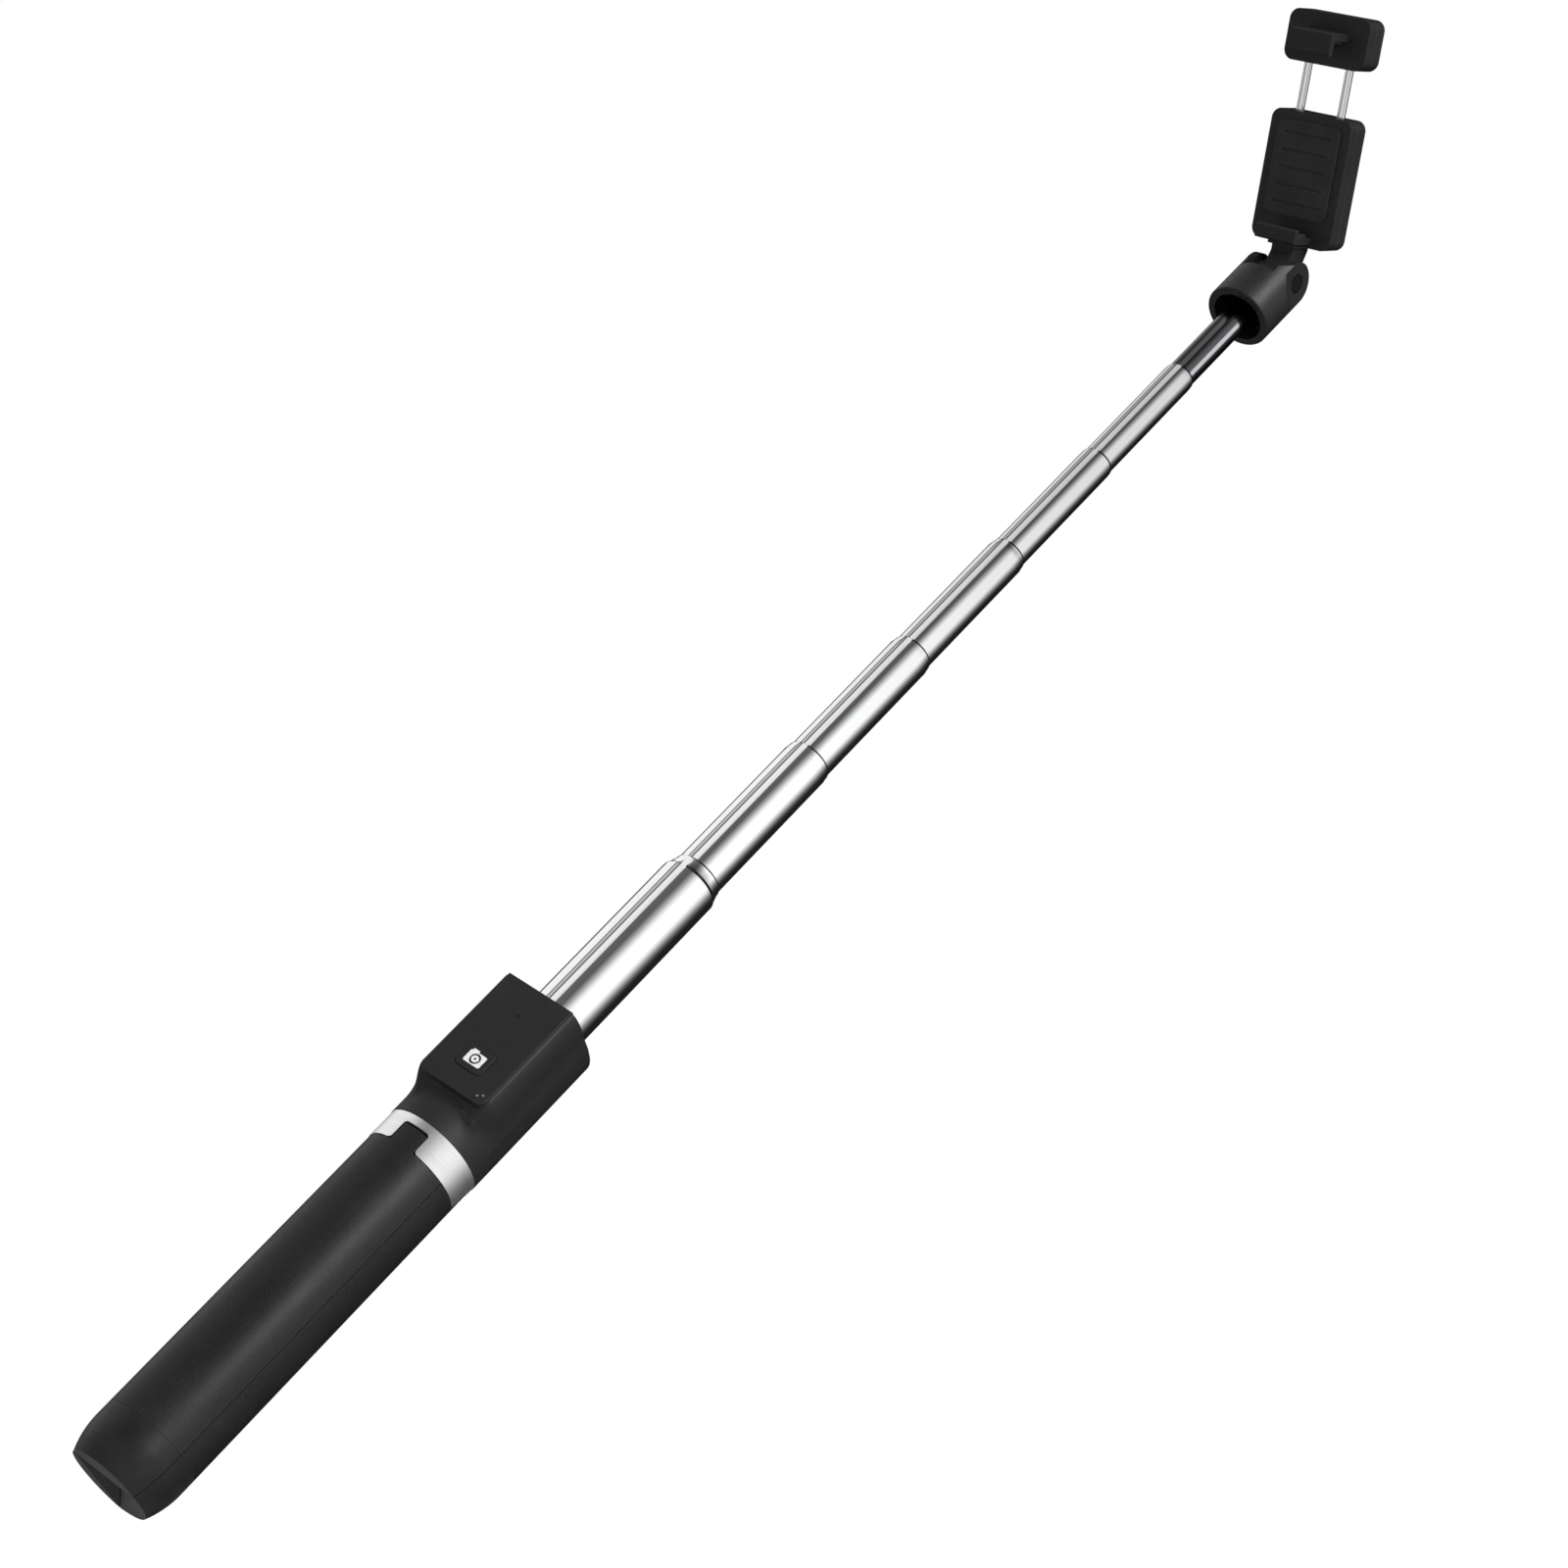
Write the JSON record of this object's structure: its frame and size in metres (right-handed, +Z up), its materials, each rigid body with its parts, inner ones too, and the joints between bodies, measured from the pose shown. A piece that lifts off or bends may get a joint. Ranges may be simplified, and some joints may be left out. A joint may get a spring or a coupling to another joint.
{
  "type": "tripod selfie stick",
  "caption": "Telescopic selfie stick: folding tripod legs as the grip, lift-out shutter remote, nested grooved tubes, swivel and tilt head, spring phone clamp.",
  "frame": {"origin": "on the stick's axis, in the plane where the rubber feet meet the leg shells", "axes": "+Z up the stick toward the phone clamp, -Y out of the face with the remote, +X to the right as seen from the remote's side"},
  "size_m": [0.0517, 0.0983, 0.6861],
  "materials": {
    "black_plastic": "satin moulded black plastic",
    "collar_plastic": "fine-textured black plastic",
    "remote_plastic": "fine-textured black plastic",
    "foot_rubber": "dark grey rubber",
    "pad_rubber": "soft black rubber",
    "silver_ring": "satin anodised silver",
    "chrome_tube": "bright polished steel",
    "dark_tube": "smoke-dark polished steel",
    "steel": "zinc-plated steel",
    "black_screw": "black oxide steel",
    "white_print": "white inlay",
    "inner_plastic": "dark grey acetal",
    "circuit_green": "green circuit board",
    "clear_pipe": "clear light pipe"
  },
  "bodies": {
    "handle": {"hinge_ring": "silver_ring", "leg_hub": "inner_plastic", "hub_screws": "steel", "tube_guide": "inner_plastic", "collar_end_bushing": "inner_plastic", "collar_shell": "collar_plastic", "front_leg_hinge_pin": "steel", "right_leg_hinge_pin": "steel", "left_leg_hinge_pin": "steel"},
    "remote": {"remote_top_shell": "remote_plastic", "remote_bottom_cover": "remote_plastic", "remote_circuit_board": "circuit_green", "shutter_tact_switch": "steel", "status_light_pipe": "clear_pipe", "remote_coin_battery": "steel", "remote_contact_pins": "steel"},
    "shutter_key": {"shutter_button": "remote_plastic", "shutter_camera_icon": "white_print"},
    "tube_1": {"tube_1": "chrome_tube"},
    "tube_2": {"tube_2": "chrome_tube", "tube_2_slide_bush": "inner_plastic"},
    "tube_3": {"tube_3": "chrome_tube"},
    "tube_4": {"tube_4": "chrome_tube"},
    "tube_5": {"tube_5": "chrome_tube"},
    "tube_6": {"tube_6": "chrome_tube"},
    "tube_7": {"tube_7": "dark_tube", "tube_7_end_plug": "inner_plastic", "swivel_screw": "steel"},
    "head": {"head_cup": "black_plastic", "tilt_screw": "black_screw", "tilt_nut": "black_screw", "friction_washers": "inner_plastic"},
    "clamp": {"tilt_arm": "black_plastic", "lower_jaw": "black_plastic", "lower_jaw_pad": "pad_rubber", "clamp_housing_front": "black_plastic", "clamp_housing_rear_cover": "black_plastic", "clamp_housing_screws": "black_screw", "phone_back_pad": "pad_rubber", "rod_guide_block": "inner_plastic", "clamp_springs": "steel"},
    "upper_jaw": {"upper_jaw": "black_plastic", "upper_jaw_rear_cover": "black_plastic", "upper_jaw_screw": "black_screw", "upper_jaw_pad": "pad_rubber", "clamp_guide_rods": "chrome_tube", "guide_rod_clips": "steel"},
    "front_leg": {"front_leg_shell": "black_plastic", "front_leg_inner_cover": "black_plastic", "front_foot_pad": "foot_rubber"},
    "right_leg": {"right_leg_shell": "black_plastic", "right_leg_inner_cover": "black_plastic", "right_foot_pad": "foot_rubber"},
    "left_leg": {"left_leg_shell": "black_plastic", "left_leg_inner_cover": "black_plastic", "left_foot_pad": "foot_rubber"}
  },
  "joints": [
    {"name": "front_leg_fold", "type": "hinge", "parent": "handle", "child": "front_leg", "pos_m": [0, -0.014, 0.1154], "axis": [-1, 0, 0], "range_deg": [0, 62]},
    {"name": "right_leg_fold", "type": "hinge", "parent": "handle", "child": "right_leg", "pos_m": [0.01212, 0.007, 0.1154], "axis": [0.5, -0.866, 0], "range_deg": [0, 62]},
    {"name": "left_leg_fold", "type": "hinge", "parent": "handle", "child": "left_leg", "pos_m": [-0.01212, 0.007, 0.1154], "axis": [0.5, 0.866, 0], "range_deg": [0, 62]},
    {"name": "tube_1_slide", "type": "slide", "parent": "handle", "child": "tube_1", "axis": [0, 0, 1], "range_m": [-0.072, 0]},
    {"name": "tube_2_slide", "type": "slide", "parent": "tube_1", "child": "tube_2", "axis": [0, 0, 1], "range_m": [-0.0575, 0]},
    {"name": "tube_3_slide", "type": "slide", "parent": "tube_2", "child": "tube_3", "axis": [0, 0, 1], "range_m": [-0.0564, 0]},
    {"name": "tube_4_slide", "type": "slide", "parent": "tube_3", "child": "tube_4", "axis": [0, 0, 1], "range_m": [-0.0548, 0]},
    {"name": "tube_5_slide", "type": "slide", "parent": "tube_4", "child": "tube_5", "axis": [0, 0, 1], "range_m": [-0.053, 0]},
    {"name": "tube_6_slide", "type": "slide", "parent": "tube_5", "child": "tube_6", "axis": [0, 0, 1], "range_m": [-0.0517, 0]},
    {"name": "tube_7_slide", "type": "slide", "parent": "tube_6", "child": "tube_7", "axis": [0, 0, 1], "range_m": [-0.0502, 0]},
    {"name": "head_swivel", "type": "hinge", "parent": "tube_7", "child": "head", "pos_m": [0, 0, 0.588], "axis": [0, 0, 1], "continuous": true},
    {"name": "clamp_tilt", "type": "hinge", "parent": "head", "child": "clamp", "pos_m": [0, 0, 0.6005], "axis": [0.9744, -0.225, 0], "range_deg": [-117, 28]},
    {"name": "upper_jaw_slide", "type": "slide", "parent": "clamp", "child": "upper_jaw", "axis": [-0.1887, -0.8172, 0.5446], "range_m": [-0.015, 0.014], "deforming": ["clamp_springs"]},
    {"name": "remote_release", "type": "slide", "parent": "handle", "child": "remote", "axis": [0, -1, 0], "range_m": [0, 0.014]},
    {"name": "shutter_press", "type": "slide", "parent": "remote", "child": "shutter_key", "axis": [0, 1, 0], "range_m": [0, 0.0004], "stiffness_N_per_m": 600, "springref_m": -0.0005}
  ]
}
